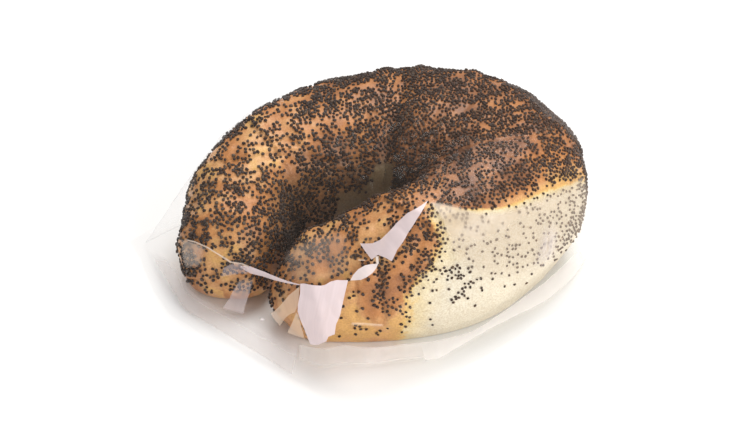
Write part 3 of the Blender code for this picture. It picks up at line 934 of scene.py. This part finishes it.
# %% Painted highlights on the film's folds
film_sheen_sheet("sheen_front",
     ((240, 30.5), (241.5, 31), (245.5, 31.5), (249, 32), (250.5, 32.5), (252.5, 34), (255, 35),
      (260, 35.5)),
     ((249.5, 12.5), (252, 13), (255, 15)),
     ((241, 27.5), (241.5, 23), (242, 21), (243.5, 19), (246, 16.5)),
     ((259, 28), (258.5, 23.5), (257.5, 20.5), (257.5, 17.5), (255.5, 16.5)),
     milky=(0.96, 0.93), warm=0.15)
film_sheen_sheet("sheen_upper",
     ((264, 48.5), (267, 48.5), (270.5, 48.5), (274.5, 49.5), (278.5, 51.5), (284.5, 54.5), (291, 56.5),
      (297.5, 57), (305.5, 58)),
     ((270, 43), (273, 44.5), (276, 43.5), (279, 42), (282, 45.5), (285, 47.5), (289, 50.5),
      (294.5, 53.5), (299, 55.5), (305.5, 58)),
     milky=(0.88, 0.92))
film_sheen_sheet("sheen_leaf",
     ((261, 35.5), (262, 37.5), (264, 39.5), (267, 41), (270, 41.5), (273, 41.5)),
     ((261, 35.5), (265.5, 36), (268, 37), (270.5, 38.5), (272, 40), (273, 41.5)),
     milky=(0.88, 0.84), warm=0.35)
film_sheen_sheet("sheen_knot", ((271.5, 44), (273.5, 44)), ((272, 41.5), (273.5, 41.5)), milky=(0.85, 0.85),
     warm=0.6, soft=(0, 0, 0.3, 0.3), across=12, down=12)
film_sheen_sheet("sheen_dash", ((263.5, 43), (267.5, 43)), ((263.5, 42.5), (267.5, 42.5)), milky=(0.6, 0.6),
     warm=0.8, soft=(0.3, 0.3, 0.2, 0.2), across=24, down=10)
film_sheen_sheet("sheen_ridge",
     ((192, 21), (195.5, 22.9), (199.5, 24.1), (203.5, 24.6), (209, 25.1), (213, 26.9), (216.5, 27.5)),
     ((192, 20.5), (195.5, 22.3), (199.5, 23.5), (203.5, 23.9), (209, 24.3), (213, 26.1), (216.5, 26.7)),
     milky=(0.72, 0.58), warm=0.7, soft=(0.2, 0.3, 0.1, 0.05), down=12)
film_sheen_sheet("sheen_blade",
     ((212.5, 25.5), (216.5, 27.5), (222.5, 28.5), (228.5, 29.1), (234.5, 29.6), (240, 30.2)),
     ((213.5, 25.2), (218, 25.5), (223, 26.8), (229, 27.8), (235, 28.9), (240, 29.9)),
     milky=(0.88, 0.74), warm=0.15, down=16)
film_sheen_sheet("sheen_spark", ((227.5, 13.5), (230, 14.5)), ((228.5, 12.5), (230.5, 13.5)), milky=(1, 1),
     warm=0.4, soft=(0.35, 0.35, 0.35, 0.35), across=12, down=12)

# %% Veils of painted sheen on the film
film_sheen_sheet("veil_left", ((191, 20), (193.5, 21.5), (196, 22.5), (200, 23.5)),
     ((193.5, 15.5), (196, 13), (199.5, 16), (201.5, 19)), milky=(0.32, 0.26), warm=0.6,
     soft=(0.04, 0.2, 0.25, 0.25))
film_sheen_sheet("veil_blade", ((207.5, 21.5), (209, 24), (211.5, 26), (216, 26.5)),
     ((208.5, 18.5), (211, 20.5), (214, 23), (217.5, 25)), milky=(0.36, 0.26), warm=0.1,
     soft=(0.1, 0.15, 0.1, 0.1))
film_sheen_sheet("veil_notch", ((215.5, 24), (217.5, 24.5), (220, 25.5)), ((211.5, 8), (216.5, 9.5), (221.5, 11)),
     ((214.5, 19), (214, 14)), ((220.5, 22), (221, 17.5)), milky=(0.14, 0.50), warm=0.2,
     soft=(0.3, 0.08, 0.06, 0.06))
film_sheen_sheet("veil_corner", ((231.5, 16.5), (234, 20), (236.5, 25), (240, 29.5)),
     ((236.5, 14), (237.5, 17), (239, 19), (241, 20.5), (241.5, 23.5)), milky=(0.48, 0.44), warm=0.8)
film_sheen_sheet("veil_corner_low", ((240, 13), (241, 17), (241.5, 20.5)), ((247, 13.5), (245, 16.5), (242.5, 20)),
     milky=(0.56, 0.50), warm=0.8)
film_sheen_sheet("veil_tip", ((227.5, 36.5), (230, 43), (236, 49.5), (249, 53.5), (259, 51)),
     ((232, 29), (239.5, 30), (250.5, 33), (258.5, 37), (262, 42)), milky=(0.15, 0.06), warm=0.6,
     soft=(0.3, 0.15, 0.25, 0.25))
film_sheen_sheet("veil_flank",
     ((305.5, 58), (310.5, 55.5), (316, 52), (319.5, 48.5), (324.5, 45), (329.5, 43), (337, 40.5),
      (343.5, 37.5), (349.5, 35), (355, 32.5), (361, 29.5), (365.5, 26.5)),
     ((306, 35.5), (313, 23.5), (330.5, 14), (348.5, 12), (360, 10.5)),
     ((305, 52.5), (304.5, 46.5), (305, 40)), ((364, 23), (362.5, 18), (362, 13.5)),
     milky=((0.70, 0.58, 0.46, 0.40, 0.36, 0.32), (0.08, 0.08, 0.18, 0.22)), warm=1.0,
     soft=(0.06, 0.35, 0.03, 0.05))
film_sheen_sheet("veil_smear", ((340, 32.5), (350, 27)), ((332.5, 19), (344, 13.5)), milky=(0.36, 0.36), warm=0.4,
     soft=(0.4, 0.4, 0.45, 0.45))
film_sheen_sheet("sheen_glint", ((262.5, 22), (268, 22.2), (274.5, 21.8)), ((262.5, 20.8), (268, 21), (274.5, 20.8)),
     milky=(0.50, 0.30), warm=0.8, soft=(0.15, 0.5, 0.1, 0.1), down=14)

# %% The skirt on the table, painted sheen of the film on the floor
film_sheen_sheet("skirt_left", ((178.5, 5.5), (195.5, 12.5), (202, 9), (213, 10), (229, 11.5), (245.5, 11.5)),
     ((173.5, 0.5), (184, 0.5), (200.5, 0.5), (214, 0.5), (229, 0.5), (244.5, 0.5)), milky=(0.22, 0.42),
     warm=0.4, soft=(0.35, 0.1, 0.1, 0.0))
film_sheen_sheet("skirt_front", ((245.5, 11.5), (253, 12.5), (261.5, 15.5), (270, 15), (279.5, 14.5), (287, 13)),
     ((247, 6), (254, 6.5), (262, 9), (270, 9), (279.5, 7.5), (288.5, 5)), milky=(0.36, 0.30),
     warm=0.5, soft=(0.1, 0.25, 0.0, 0.0))
film_sheen_sheet("skirt_right",
     ((287, 13), (295, 11.5), (304, 10), (312, 9.5), (321.5, 10), (333, 11), (343.5, 11.5), (355, 10),
      (362, 8.5)),
     ((288.5, 5), (295, 3.5), (301, 5), (308, 5.5), (315.5, 5.5), (330, 4), (342.5, 2), (356, 0.5),
      (369, 0.5)),
     milky=(0.32, 0.46), warm=0.5, soft=(0.1, 0.06, 0.0, 0.1))

# %% [markdown]
# ## Floor, light and camera
#
# A pale floor under soft studio light: one large key high behind the roll, a low soft light from the
# front right that opens the pale flank, and a bright sky. So the hole and the notch between the
# ends stay dark. The camera looks down 38 degrees.

# %% Floor
floor_material, add = new_material("pale_floor")
shader = add("BsdfPrincipled", {"Base Color": blend_colours(
    add, noise(add, 6, 2.0), (0.90, 0.90, 0.895), (0.93, 0.93, 0.93))}, Roughness=0.8)
add("OutputMaterial", {"Surface": shader})
bpy.ops.mesh.primitive_plane_add(size=6.0, location=(0, 0, -0.0002))
floor = bpy.context.object
floor.name = "floor"
floor.data.materials.append(floor_material)


# %% Lights
def area_light(name, azimuth, elevation, distance, size, power, colour=(1, 1, 1)):
    """A square softbox aimed at the roll; azimuth 0 is in front, 90 at the right."""
    data = bpy.data.lights.new(name, "AREA")
    data.size, data.energy, data.color = size, power, colour
    a, e = math.radians(azimuth), math.radians(elevation)
    back = Vector((math.sin(a) * math.cos(e), -math.cos(a) * math.cos(e), math.sin(e)))
    light = bpy.data.objects.new(name, data)
    light.location = back * distance
    light.rotation_mode = "QUATERNION"
    light.rotation_quaternion = back.to_track_quat("Z", "Y")
    bpy.context.scene.collection.objects.link(light)
    print(name, "light:", power, "W")


area_light("key", 160, 66, 1.3, 1.0, 16.0, (1.0, 0.99, 0.97))
area_light("side", 46, 25, 1.6, 1.0, 18.0, (1.0, 1.0, 0.99))
world = bpy.data.worlds.new("studio")
world.use_nodes = True
sky = world.node_tree.nodes["Background"].inputs
sky["Color"].default_value = (0.98, 0.98, 1.0, 1.0)
sky["Strength"].default_value = 0.40
bpy.context.scene.world = world
bpy.context.scene.view_settings.view_transform = "Standard"

# %% Camera
CAMERA_ELEVATION = math.radians(38)
CAMERA_DISTANCE = 750.0
FOCAL_PIXELS = 2400.0
FRAME_PIXELS = (752, 429)
AIM = np.array((0.0, 0.0, 22.0)) + SHIFT
AIM_PIXEL = (385.0, 205.0)      # where the photo shows the point AIM

lens = bpy.data.cameras.new("camera")
lens.sensor_width = 36.0
lens.lens = FOCAL_PIXELS / FRAME_PIXELS[0] * lens.sensor_width
lens.shift_x = (FRAME_PIXELS[0] / 2 - AIM_PIXEL[0]) / FRAME_PIXELS[0]
lens.shift_y = (AIM_PIXEL[1] - FRAME_PIXELS[1] / 2) / FRAME_PIXELS[0]
lens.clip_start, lens.clip_end = 0.01, 20.0
camera = bpy.data.objects.new("camera", lens)
back = np.array((0.0, -math.cos(CAMERA_ELEVATION), math.sin(CAMERA_ELEVATION)))
camera.location = Vector((AIM + back * CAMERA_DISTANCE) * MM)
camera.rotation_euler = (math.pi / 2 - CAMERA_ELEVATION, 0.0, 0.0)
bpy.context.scene.collection.objects.link(camera)
bpy.context.scene.camera = camera
print("lens:", round(lens.lens, 1), "mm")
